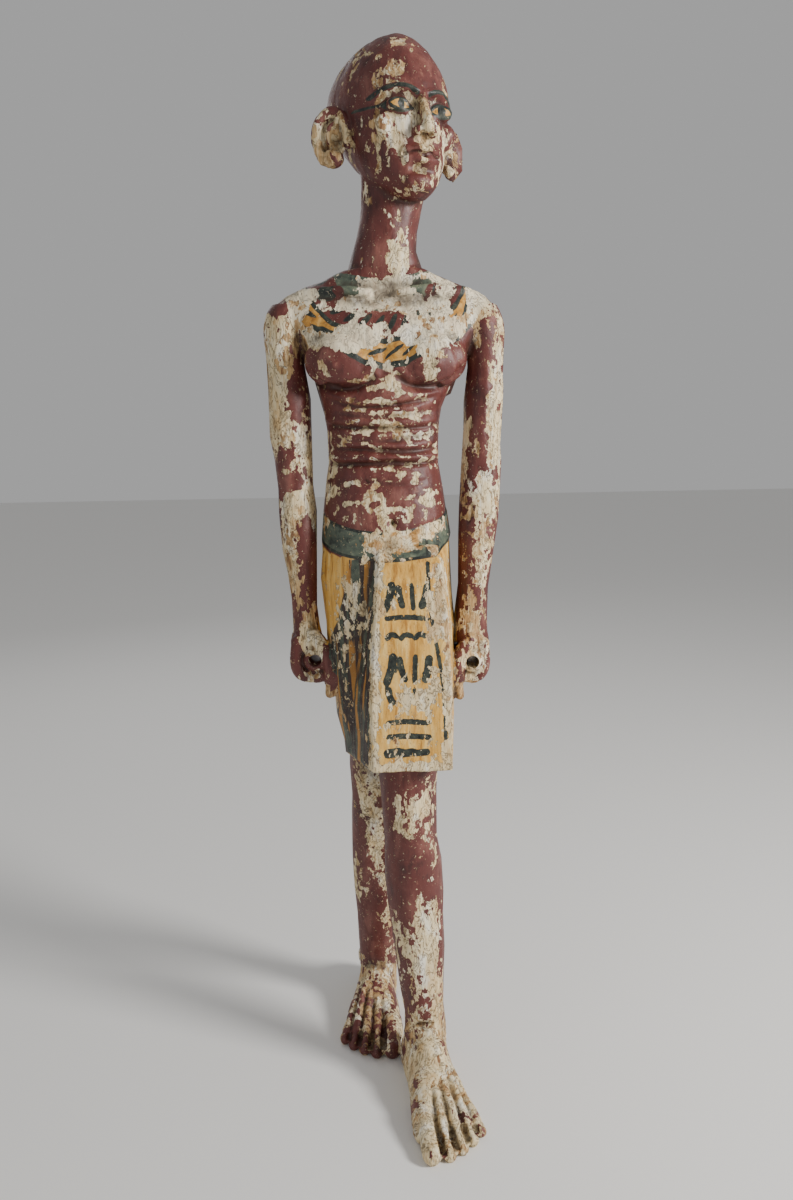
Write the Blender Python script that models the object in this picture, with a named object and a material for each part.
"""Painted wooden figure of a striding Egyptian priest, carved in one piece and standing on its own bare feet.

Every length below is a share of FIGURE_HEIGHT. The trunk's axis is x = y = 0 while the figure is carved:
+x is the figure's left, -y its front. At the end the middle of its bounding box is moved over the origin.
"""

import math

import bmesh
import bpy
from mathutils import Matrix, Vector

FIGURE_HEIGHT = 1.0
LOFT_SIDES = 32
CLAY_VOXEL = 0.0021
SMOOTH_PASSES = 3
FINISHED_TRIANGLES = 9300
HEM = 0.3415
FIST_BORE = 0.0062
BORE_SIDES = 24
BORE_LENGTH = 0.09
FOOT_WIDEST = 0.007
SOLE_BELOW = 0.012
HEAD_TURN = math.radians(28.0)
HEAD_LEAN = math.radians(2.0)
HEAD_PLACE = (0.0130, 0.0, 0.855)
FACE_SIDES = (-1, 1)
EAR_STEPS = 9
EAR_MIDDLE = 0.0530
EAR_RADIUS = 0.0215
EAR_TURN = math.radians(33.0)
# Each fist: the x of its outer side, then the x and height of the bore through it.
RIGHT_FIST = (-0.0985, (-0.0735, 0.4360))
LEFT_FIST = (0.0965, (0.0790, 0.4320))
LEFT_ANKLE = (0.0275, -0.0540)
RIGHT_ANKLE = (-0.0240, 0.0880)
LEFT_FOOT_TURN = math.radians(13.0)
RIGHT_FOOT_TURN = math.radians(-3.0)
SKIN_COLOUR = (0.16, 0.035, 0.027, 1.0)
SKIN_ROUGHNESS = 0.5

# Horizontal sections, from below: height, middle in x, middle in y, half width, depth in front, depth behind.
TRUNK = (
    (0.460, -0.0010, 0.002, 0.0570, 0.046, 0.052),
    (0.500, -0.0025, 0.002, 0.0605, 0.048, 0.054),
    (0.545, -0.0030, 0.002, 0.0610, 0.049, 0.047),
    (0.580, -0.0035, 0.001, 0.0588, 0.047, 0.040),
    (0.605, -0.0042, 0.001, 0.0555, 0.043, 0.036),
    (0.624, -0.0042, 0.001, 0.0525, 0.040, 0.034),
    (0.650, -0.0042, 0.001, 0.0530, 0.040, 0.035),
    (0.675, -0.0042, 0.001, 0.0560, 0.042, 0.037),
    (0.700, -0.0010, 0.001, 0.0660, 0.044, 0.041),
    (0.727, 0.0010, 0.001, 0.0790, 0.044, 0.044),
    (0.748, 0.0000, 0.002, 0.0930, 0.038, 0.043),
    (0.764, -0.0010, 0.003, 0.1020, 0.029, 0.036),
    (0.774, -0.0010, 0.003, 0.0970, 0.023, 0.029),
    (0.782, -0.0010, 0.004, 0.0800, 0.022, 0.027),
    (0.790, 0.0000, 0.005, 0.0580, 0.024, 0.027),
    (0.799, 0.0010, 0.005, 0.0390, 0.025, 0.027),
)
NECK = (
    (0.780, 0.0000, 0.004, 0.0340, 0.020, 0.024),
    (0.795, 0.0010, 0.005, 0.0350, 0.025, 0.027),
    (0.806, 0.0010, 0.005, 0.0325, 0.026, 0.027),
    (0.818, 0.0013, 0.004, 0.0285, 0.026, 0.027),
    (0.835, 0.0045, 0.003, 0.0265, 0.026, 0.027),
    (0.855, 0.0085, 0.003, 0.0280, 0.025, 0.029),
    (0.885, 0.0110, 0.003, 0.0310, 0.024, 0.034),
)
RIGHT_ARM = (
    (0.770, -0.0900, 0.002, 0.0150, 0.016, 0.018),
    (0.760, -0.0918, 0.002, 0.0200, 0.021, 0.023),
    (0.744, -0.0930, 0.001, 0.0216, 0.023, 0.024),
    (0.720, -0.0942, 0.001, 0.0180, 0.021, 0.022),
    (0.684, -0.0922, 0.001, 0.0198, 0.021, 0.021),
    (0.650, -0.0914, 0.000, 0.0195, 0.020, 0.020),
    (0.620, -0.0894, -0.001, 0.0178, 0.018, 0.019),
    (0.598, -0.0886, -0.002, 0.0174, 0.018, 0.019),
    (0.566, -0.0874, -0.004, 0.0178, 0.019, 0.019),
    (0.535, -0.0866, -0.006, 0.0164, 0.018, 0.017),
    (0.505, -0.0846, -0.007, 0.0132, 0.016, 0.015),
    (0.475, -0.0833, -0.007, 0.0128, 0.016, 0.015),
    (0.448, -0.0815, -0.007, 0.0150, 0.019, 0.018),
)
LEFT_ARM = (
    (0.768, 0.0890, 0.002, 0.0150, 0.016, 0.018),
    (0.757, 0.0905, 0.002, 0.0190, 0.021, 0.023),
    (0.742, 0.0918, 0.001, 0.0198, 0.023, 0.024),
    (0.717, 0.0942, 0.001, 0.0168, 0.021, 0.022),
    (0.684, 0.0926, 0.001, 0.0182, 0.021, 0.021),
    (0.650, 0.0912, 0.000, 0.0178, 0.020, 0.020),
    (0.619, 0.0902, -0.001, 0.0188, 0.018, 0.019),
    (0.598, 0.0887, -0.002, 0.0192, 0.018, 0.019),
    (0.570, 0.0865, -0.004, 0.0192, 0.019, 0.019),
    (0.535, 0.0838, -0.006, 0.0168, 0.018, 0.017),
    (0.505, 0.0815, -0.007, 0.0152, 0.016, 0.015),
    (0.475, 0.0796, -0.007, 0.0150, 0.016, 0.015),
    (0.448, 0.0790, -0.007, 0.0165, 0.019, 0.018),
)
LEFT_LEG = (
    (0.420, 0.0170, -0.020, 0.0300, 0.034, 0.034),
    (0.338, 0.0150, -0.033, 0.0295, 0.032, 0.032),
    (0.300, 0.0150, -0.037, 0.0275, 0.029, 0.029),
    (0.265, 0.0160, -0.040, 0.0264, 0.028, 0.026),
    (0.235, 0.0182, -0.040, 0.0278, 0.026, 0.029),
    (0.205, 0.0196, -0.040, 0.0285, 0.025, 0.032),
    (0.166, 0.0217, -0.042, 0.0266, 0.024, 0.030),
    (0.133, 0.0237, -0.045, 0.0247, 0.023, 0.025),
    (0.100, 0.0252, -0.048, 0.0230, 0.022, 0.021),
    (0.070, 0.0272, -0.050, 0.0215, 0.021, 0.020),
    (0.045, 0.0285, -0.051, 0.0215, 0.022, 0.021),
    (0.012, 0.0285, -0.050, 0.0195, 0.022, 0.022),
)
RIGHT_LEG = (
    (0.420, -0.0150, 0.006, 0.0270, 0.034, 0.030),
    (0.338, -0.0168, 0.016, 0.0286, 0.032, 0.031),
    (0.300, -0.0168, 0.025, 0.0283, 0.029, 0.030),
    (0.265, -0.0175, 0.035, 0.0272, 0.028, 0.026),
    (0.235, -0.0185, 0.043, 0.0282, 0.026, 0.029),
    (0.205, -0.0190, 0.050, 0.0290, 0.025, 0.031),
    (0.166, -0.0200, 0.058, 0.0275, 0.024, 0.029),
    (0.133, -0.0200, 0.065, 0.0252, 0.023, 0.024),
    (0.100, -0.0205, 0.072, 0.0238, 0.022, 0.021),
    (0.070, -0.0215, 0.078, 0.0228, 0.021, 0.020),
    (0.045, -0.0220, 0.082, 0.0225, 0.022, 0.021),
    (0.012, -0.0220, 0.083, 0.0210, 0.022, 0.024),
)
KILT = (
    (HEM, 0.0055, -0.004, 0.0525, 0.052, 0.066),
    (0.352, 0.0052, -0.003, 0.0542, 0.052, 0.066),
    (0.385, 0.0025, -0.002, 0.0595, 0.051, 0.065),
    (0.430, 0.0005, -0.001, 0.0620, 0.050, 0.064),
    (0.470, -0.0005, 0.000, 0.0625, 0.051, 0.062),
    (0.510, -0.0030, 0.001, 0.0635, 0.052, 0.057),
    (0.540, -0.0030, 0.002, 0.0620, 0.052, 0.050),
    (0.552, -0.0030, 0.002, 0.0600, 0.050, 0.047),
)
# The belt's two edges at the sides, how far they dip at the front, and how far it stands proud.
BELT_LOW, BELT_HIGH, BELT_DIP, BELT_PROUD = 0.551, 0.578, 0.017, 0.0008
# The stiff apron, from the hem up: height, its corners in x (front left, front right, back right, back left,
# as seen from the front), then the y of its front face and of its back corners.
APRON = (
    (HEM, -0.0185, 0.0563, 0.0590, -0.0470, -0.086, -0.024),
    (0.400, -0.0190, 0.0565, 0.0600, -0.0480, -0.079, -0.024),
    (0.470, -0.0150, 0.0545, 0.0595, -0.0420, -0.069, -0.026),
    (0.532, -0.0105, 0.0480, 0.0550, -0.0260, -0.058, -0.030),
    (0.548, -0.0090, 0.0420, 0.0500, -0.0200, -0.049, -0.030),
)
# Head sections from the chin up: height above the chin, half width, face side and back of the head in y.
HEAD = (
    (0.0000, 0.0120, -0.0380, -0.018),
    (0.0060, 0.0200, -0.0440, 0.000),
    (0.0160, 0.0290, -0.0465, 0.018),
    (0.0300, 0.0365, -0.0465, 0.036),
    (0.0450, 0.0415, -0.0470, 0.055),
    (0.0600, 0.0452, -0.0470, 0.072),
    (0.0720, 0.0474, -0.0455, 0.084),
    (0.0850, 0.0490, -0.0470, 0.092),
    (0.0975, 0.0490, -0.0440, 0.094),
    (0.1100, 0.0458, -0.0390, 0.088),
    (0.1225, 0.0392, -0.0310, 0.076),
    (0.1325, 0.0305, -0.0215, 0.060),
    (0.1405, 0.0190, -0.0110, 0.042),
    (0.1450, 0.0075, -0.0010, 0.024),
)
# Foot sections from the heel forwards: distance from the heel, half width, height of the instep.
HEEL_TO_ANKLE = 0.042
FOOT = (
    (0.0005, 0.0100, 0.022),
    (0.0040, 0.0150, 0.034),
    (0.0120, 0.0190, 0.044),
    (0.0300, 0.0215, 0.058),
    (0.0520, 0.0225, 0.060),
    (0.0720, 0.0250, 0.047),
    (0.0920, 0.0285, 0.037),
    (0.1100, 0.0320, 0.028),
    (0.1230, 0.0340, 0.021),
    (0.1310, 0.0320, 0.016),
)
# Toes from the big one outwards: offset across the foot, where it ends along the foot, its radius.
TOES = (
    (-0.0225, 0.1600, 0.0096),
    (-0.0065, 0.1590, 0.0070),
    (0.0065, 0.1540, 0.0066),
    (0.0185, 0.1465, 0.0062),
    (0.0290, 0.1370, 0.0058),
)
TOE_ROOT = 0.112
# Creases of the belly: height at the sides, sag at the middle, depth.
FOLDS = (
    (0.680, 0.008, 0.0016),
    (0.657, 0.006, 0.0016),
    (0.641, 0.005, 0.0010),
    (0.626, 0.004, 0.0018),
)
FOLD_REACH = 0.062
FOLD_WIDTH = 0.0028
FINGERS = 4
FINGER_RADIUS = 0.0062
FINGER_PITCH = 0.0108


def across(z, x, y, wide, front, behind, square=2.0):
    """A function that turns an angle into a point of one horizontal section."""

    def point(angle):
        c, s = math.cos(angle), math.sin(angle)
        px = wide * math.copysign(abs(c) ** (2.0 / square), c)
        py = (behind if s > 0 else front) * math.copysign(abs(s) ** (2.0 / square), s)
        return Vector((x + px, y + py, z))

    return point


def loft(sections, sides=LOFT_SIDES, place=None):
    """A closed skin through the sections, each a function of the angle round it."""
    bm = bmesh.new()
    turn = bm.verts.layers.int.new("turn")
    ring = bmesh.ops.create_circle(bm, cap_ends=True, segments=sides)["verts"]
    for i, v in enumerate(ring):
        v[turn] = i
    cap = bm.faces[:][0]
    for i, section in enumerate(sections):
        if i:
            grown = bmesh.ops.extrude_face_region(bm, geom=[cap])["geom"]
            cap = next(g for g in grown if isinstance(g, bmesh.types.BMFace))
        for v in cap.verts:
            v.co = section(v[turn] * math.tau / sides)
    if place:
        bmesh.ops.transform(bm, matrix=place, verts=bm.verts)
    bmesh.ops.recalc_face_normals(bm, faces=bm.faces)
    return bm


def stack(rows, square=2.0, sides=LOFT_SIDES):
    """A loft through rows of horizontal sections."""
    return loft([across(*row, square=square) for row in rows], sides)


def tube(path, radii, sides=16, end_rings=3):
    """A round rod along the path with domed ends; radii holds one radius for each point."""
    points = [Vector(p) for p in path]
    side = (points[1] - points[0]).orthogonal().normalized()

    def dome(centre, out, radius):
        """Rings that close an end, from its rim to its tip."""
        lifts = [math.pi / 2 * k / (end_rings + 1) for k in range(1, end_rings + 1)]
        return [(centre + out * radius * math.sin(a), radius * math.cos(a)) for a in lifts]

    back = (points[0] - points[1]).normalized()
    front = (points[-1] - points[-2]).normalized()
    rings = [(p, r, -back) for p, r in reversed(dome(points[0], back, radii[0]))]
    for i, (p, r) in enumerate(zip(points, radii)):
        along = points[min(i + 1, len(points) - 1)] - points[max(i - 1, 0)]
        rings.append((p, r, along.normalized()))
    rings += [(p, r, front) for p, r in dome(points[-1], front, radii[-1])]

    def ring(centre, radius, along):
        u = (side - along * side.dot(along)).normalized()
        v = along.cross(u)
        return lambda angle: centre + (u * math.cos(angle) + v * math.sin(angle)) * radius

    return loft([ring(*r) for r in rings], sides)


def lump(middle, radii, turn=0.0):
    """An ellipsoid of clay."""
    bm = bmesh.new()
    bmesh.ops.create_uvsphere(bm, u_segments=24, v_segments=16, radius=1.0)
    place = Matrix.Translation(middle) @ Matrix.Rotation(turn, 4, "Z") @ Matrix.Diagonal((*radii, 1.0))
    bmesh.ops.transform(bm, matrix=place, verts=bm.verts)
    return bm


def apron():
    """The projecting front panel of the kilt, slanted at the figure's right and square at its left."""

    def corners(row):
        z, fl, fr, br, bl, front, back = row
        loop = [Vector(c) for c in ((fl, front, z), (fr, front, z), (br, back, z), (bl, back, z))]

        def point(angle):
            share = angle / math.tau * 4.0
            i = int(share) % 4
            return loop[i].lerp(loop[(i + 1) % 4], share - int(share))

        return point

    return loft([corners(row) for row in APRON], sides=32)


def belt():
    """The low waistband, which sags at the front."""

    def level(height, proud):
        _, x, y, wide, front, behind = KILT[-2]

        def point(angle):
            p = across(height, x, y, wide + proud, front + proud, behind + proud)(angle)
            p.z -= BELT_DIP * max(0.0, -math.sin(angle)) ** 1.5
            return p

        return point

    return loft([level(BELT_LOW, BELT_PROUD), level(BELT_HIGH, -0.002)])


def head():
    """Skull, face and ears, built facing -y with the chin at z = 0, as a list of lumps."""
    rows = []
    for z, wide, face, back in HEAD:
        deep = (back - face) / 2
        rows.append((z, 0.0, face + deep, wide, deep, deep))
    parts = [stack(rows, 2.15)]
    bridge = [(0, -0.0445, 0.082), (0, -0.051, 0.066), (0, -0.0565, 0.052)]
    parts.append(tube(bridge, [0.0045, 0.0052, 0.0068]))
    for side in FACE_SIDES:
        parts.append(lump((side * 0.0072, -0.0500, 0.0495), (0.0058, 0.0070, 0.0048)))
        parts.append(lump((side * 0.0195, -0.0385, 0.0715), (0.0125, 0.0080, 0.0075)))
        brow = [
            (side * 0.034, -0.036, 0.0815),
            (side * 0.018, -0.0445, 0.0855),
            (side * 0.005, -0.047, 0.082),
        ]
        upper_lip = [(side * 0.0150, -0.0440, 0.0310), (side * 0.004, -0.0495, 0.0345)]
        lower_lip = [(side * 0.0140, -0.0440, 0.0300), (0.0, -0.0500, 0.0265)]
        parts.append(tube(brow, [0.0030, 0.0042, 0.0040]))
        parts.append(tube(upper_lip, [0.0026, 0.0036]))
        parts.append(tube(lower_lip, [0.0026, 0.0042]))
        parts += ear(side)
    parts.append(lump((0, -0.0420, 0.0105), (0.0150, 0.0080, 0.0085)))
    return parts


def ear(side):
    """A large low ear that stands out from the head: its rim, its plate and its lobe."""
    rim = []
    for k in range(EAR_STEPS):
        swing = math.radians(-60 + 250 * k / (EAR_STEPS - 1))
        up = EAR_MIDDLE + EAR_RADIUS * math.sin(swing)
        out = 0.5 + 0.5 * math.cos(swing)
        rim.append((side * (0.0465 + 0.0245 * out), 0.006 + 0.015 * out, up))
    radii = [0.0052, 0.0045, 0.0040, 0.0038, 0.0038, 0.0040, 0.0042, 0.0042, 0.0040]
    turn = side * EAR_TURN
    plate = lump((side * 0.0570, 0.0120, EAR_MIDDLE), (0.0125, 0.0070, 0.0200), turn)
    lobe = lump((side * 0.0590, 0.0110, EAR_MIDDLE - 0.0180), (0.0100, 0.0070, 0.0080), turn)
    return [tube(rim, radii), plate, lobe]


def fist(side, knuckles, bore):
    """A closed hand round a bore that runs from front to back, with the thumb pointing down in front."""
    bx, bz = bore
    parts = [
        lump((knuckles - side * 0.0155, -0.006, bz + 0.014), (0.0150, 0.0225, 0.0170)),
        tube([(bx, -0.022, bz), (bx, 0.010, bz)], [0.0125, 0.0125]),
    ]
    for k in range(FINGERS):
        y = -0.006 + (k - (FINGERS - 1) / 2) * FINGER_PITCH
        outer = knuckles - side * FINGER_RADIUS
        inner = bx - side * 0.0125
        low = bz - 0.0185 + 0.0012 * k
        path = [
            (outer - side * 0.0020, y, bz + 0.018),
            (outer, y, bz + 0.004),
            (outer - side * 0.0010, y, low + 0.010),
            (outer - side * 0.0055, y, low + 0.003),
            (bx, y, low),
            (inner, y, low + 0.006),
            (inner, y, bz + 0.006),
        ]
        parts.append(tube(path, [FINGER_RADIUS] * len(path)))
    thumb = [
        (bx + side * 0.001, -0.0220, bz + 0.022),
        (bx - side * 0.0120, -0.0290, bz + 0.006),
        (bx - side * 0.0150, -0.0290, bz - 0.016),
        (bx - side * 0.0130, -0.0270, bz - 0.034),
    ]
    parts.append(tube(thumb, [0.0078, 0.0072, 0.0068, 0.0060]))
    return parts


def foot(ankle, turn, outward):
    """One bare foot whose ankle stands over the given point; outward is the side of the little toe."""
    sx, sy = ankle
    place = Matrix.Translation((sx, sy, 0)) @ Matrix.Rotation(turn, 4, "Z")

    def section(row):
        along, wide, high = row
        y = HEEL_TO_ANKLE - along

        def point(angle):
            c, s = math.cos(angle), math.sin(angle)
            reach = high - FOOT_WIDEST if s > 0 else SOLE_BELOW
            x = wide * math.copysign(abs(c) ** 0.8, c)
            return Vector((x, y, FOOT_WIDEST + reach * math.copysign(abs(s) ** 0.9, s)))

        return point

    parts = [loft([section(row) for row in FOOT], place=place)]
    for offset, end, radius in TOES:
        x = offset * outward
        root = place @ Vector((x * 0.86, HEEL_TO_ANKLE - TOE_ROOT, radius * 1.35 + 0.004))
        mid = place @ Vector((x * 0.97, HEEL_TO_ANKLE - (TOE_ROOT + end) / 2, radius * 1.15 + 0.001))
        tip = place @ Vector((x * 1.02, HEEL_TO_ANKLE - end + radius, radius * 0.80))
        parts.append(tube([root, mid, tip], [radius, radius * 0.92, radius]))
    parts.append(lump(place @ Vector((0.0, -0.0140, 0.0420)), (0.0180, 0.0230, 0.0190), turn))
    for side, height in ((-outward, 0.058), (outward, 0.050)):
        knob = place @ Vector((side * 0.0165, 0.0, height))
        parts.append(lump(knob, (0.0060, 0.0105, 0.0120)))
    return parts


def body():
    """Trunk, neck, limbs, kilt, belt and apron as a list of lofts and lumps."""
    parts = [
        stack(TRUNK, 2.35),
        stack(NECK),
        stack(RIGHT_ARM, 2.15),
        stack(LEFT_ARM, 2.15),
        stack(LEFT_LEG, 2.1),
        stack(RIGHT_LEG, 2.1),
        stack(KILT, 2.5),
        belt(),
        apron(),
    ]
    for side in (-1, 1):
        parts.append(lump((side * 0.0390, -0.0225, 0.7170), (0.0360, 0.0255, 0.0270)))
        parts.append(lump((side * 0.0462, -0.0460, 0.7115), (0.0030, 0.0030, 0.0030)))
    return parts


def joined(parts, name):
    """One object from many closed skins, each scaled to the figure's height."""
    whole = bmesh.new()
    for part in parts:
        mesh = bpy.data.meshes.new("part")
        part.to_mesh(mesh)
        part.free()
        whole.from_mesh(mesh)
        bpy.data.meshes.remove(mesh)
    bmesh.ops.scale(whole, vec=(FIGURE_HEIGHT,) * 3, verts=whole.verts)
    mesh = bpy.data.meshes.new(name)
    whole.to_mesh(mesh)
    whole.free()
    thing = bpy.data.objects.new(name, mesh)
    bpy.context.scene.collection.objects.link(thing)
    return thing


def cutter(name, bm):
    """A hidden wire object that a Boolean takes away."""
    thing = joined([bm], name)
    thing.hide_render = True
    thing.display_type = "WIRE"
    return thing


def floor_block():
    """What is sawn off under the soles."""
    bm = bmesh.new()
    bmesh.ops.create_cube(bm, size=1.0, matrix=Matrix.Translation((0, 0, -0.5)))
    return cutter("sole_cut", bm)


def fist_bore(name, bore):
    """The round hole through one fist, from front to back."""
    bm = bmesh.new()
    place = Matrix.Translation((bore[0], 0, bore[1])) @ Matrix.Rotation(math.pi / 2, 4, "X")
    bmesh.ops.create_cone(bm, cap_ends=True, segments=BORE_SIDES, radius1=FIST_BORE, radius2=FIST_BORE,
                          depth=BORE_LENGTH, matrix=place)
    return cutter(name, bm)


def apply_modifiers(thing):
    """Replaces the object's mesh with its evaluated one."""
    graph = bpy.context.evaluated_depsgraph_get()
    graph.update()
    mesh = bpy.data.meshes.new_from_object(thing.evaluated_get(graph))
    thing.modifiers.clear()
    thing.data = mesh


def fuse(thing):
    """Melts the lumps into one skin and smooths the joins."""
    remesh = thing.modifiers.new("melt", "REMESH")
    remesh.mode = "VOXEL"
    remesh.voxel_size = CLAY_VOXEL * FIGURE_HEIGHT
    smooth = thing.modifiers.new("smooth", "SMOOTH")
    smooth.factor = 0.5
    smooth.iterations = SMOOTH_PASSES
    apply_modifiers(thing)
    press_folds(thing)
    thin = thing.modifiers.new("thin", "DECIMATE")
    thin.ratio = FINISHED_TRIANGLES / sum(len(p.vertices) - 2 for p in thing.data.polygons)
    apply_modifiers(thing)


def press_folds(thing):
    """The sagging creases across the starved belly."""
    for v in thing.data.vertices:
        p = v.co / FIGURE_HEIGHT
        front = -v.normal.y
        if abs(p.x) > FOLD_REACH or front < 0.0:
            continue
        for height, sag, depth in FOLDS:
            middle = height - sag * (1.0 - (p.x / FOLD_REACH) ** 2)
            near = math.exp(-((p.z - middle) / FOLD_WIDTH) ** 2)
            v.co += Vector((0, 1, 0)) * depth * near * min(1.0, front * 2.0) * FIGURE_HEIGHT


def cut(thing, tools):
    """Takes the cutters away from the figure."""
    for tool in tools:
        taken = thing.modifiers.new(tool.name, "BOOLEAN")
        taken.operation = "DIFFERENCE"
        taken.solver = "EXACT"
        taken.object = tool
    apply_modifiers(thing)


def over_origin(thing):
    """Moves the middle of the bounding box over the origin; the soles are already at z = 0."""
    xs = [v.co.x for v in thing.data.vertices]
    ys = [v.co.y for v in thing.data.vertices]
    shift = Vector((-(min(xs) + max(xs)) / 2, -(min(ys) + max(ys)) / 2, 0))
    thing.data.transform(Matrix.Translation(shift))


def paint(thing):
    """Dark red-brown skin paint on wood."""
    material = bpy.data.materials.new("painted_wood")
    material.use_nodes = True
    shader = material.node_tree.nodes["Principled BSDF"]
    shader.inputs["Base Color"].default_value = SKIN_COLOUR
    shader.inputs["Roughness"].default_value = SKIN_ROUGHNESS
    shader.inputs["Metallic"].default_value = 0.0
    thing.data.materials.clear()
    thing.data.materials.append(material)
    thing.data.shade_smooth()


def placed_head():
    """The head turned and set on the neck."""
    turned = Matrix.Rotation(HEAD_TURN, 4, "Z") @ Matrix.Rotation(HEAD_LEAN, 4, "Y")
    place = Matrix.Translation(HEAD_PLACE) @ turned
    parts = head()
    for part in parts:
        bmesh.ops.transform(part, matrix=place, verts=part.verts)
    return parts


def lumps():
    """Everything the figure is built up from, before it is melted into one."""
    parts = body() + placed_head()
    parts += fist(-1, *RIGHT_FIST) + fist(1, *LEFT_FIST)
    parts += foot(LEFT_ANKLE, LEFT_FOOT_TURN, 1) + foot(RIGHT_ANKLE, RIGHT_FOOT_TURN, -1)
    return parts


def main():
    for old in list(bpy.data.objects):
        bpy.data.objects.remove(old, do_unlink=True)
    statue = joined(lumps(), "statue")
    fuse(statue)
    cut(statue, [floor_block(), fist_bore("right_bore", RIGHT_FIST[1]), fist_bore("left_bore", LEFT_FIST[1])])
    over_origin(statue)
    paint(statue)


main()
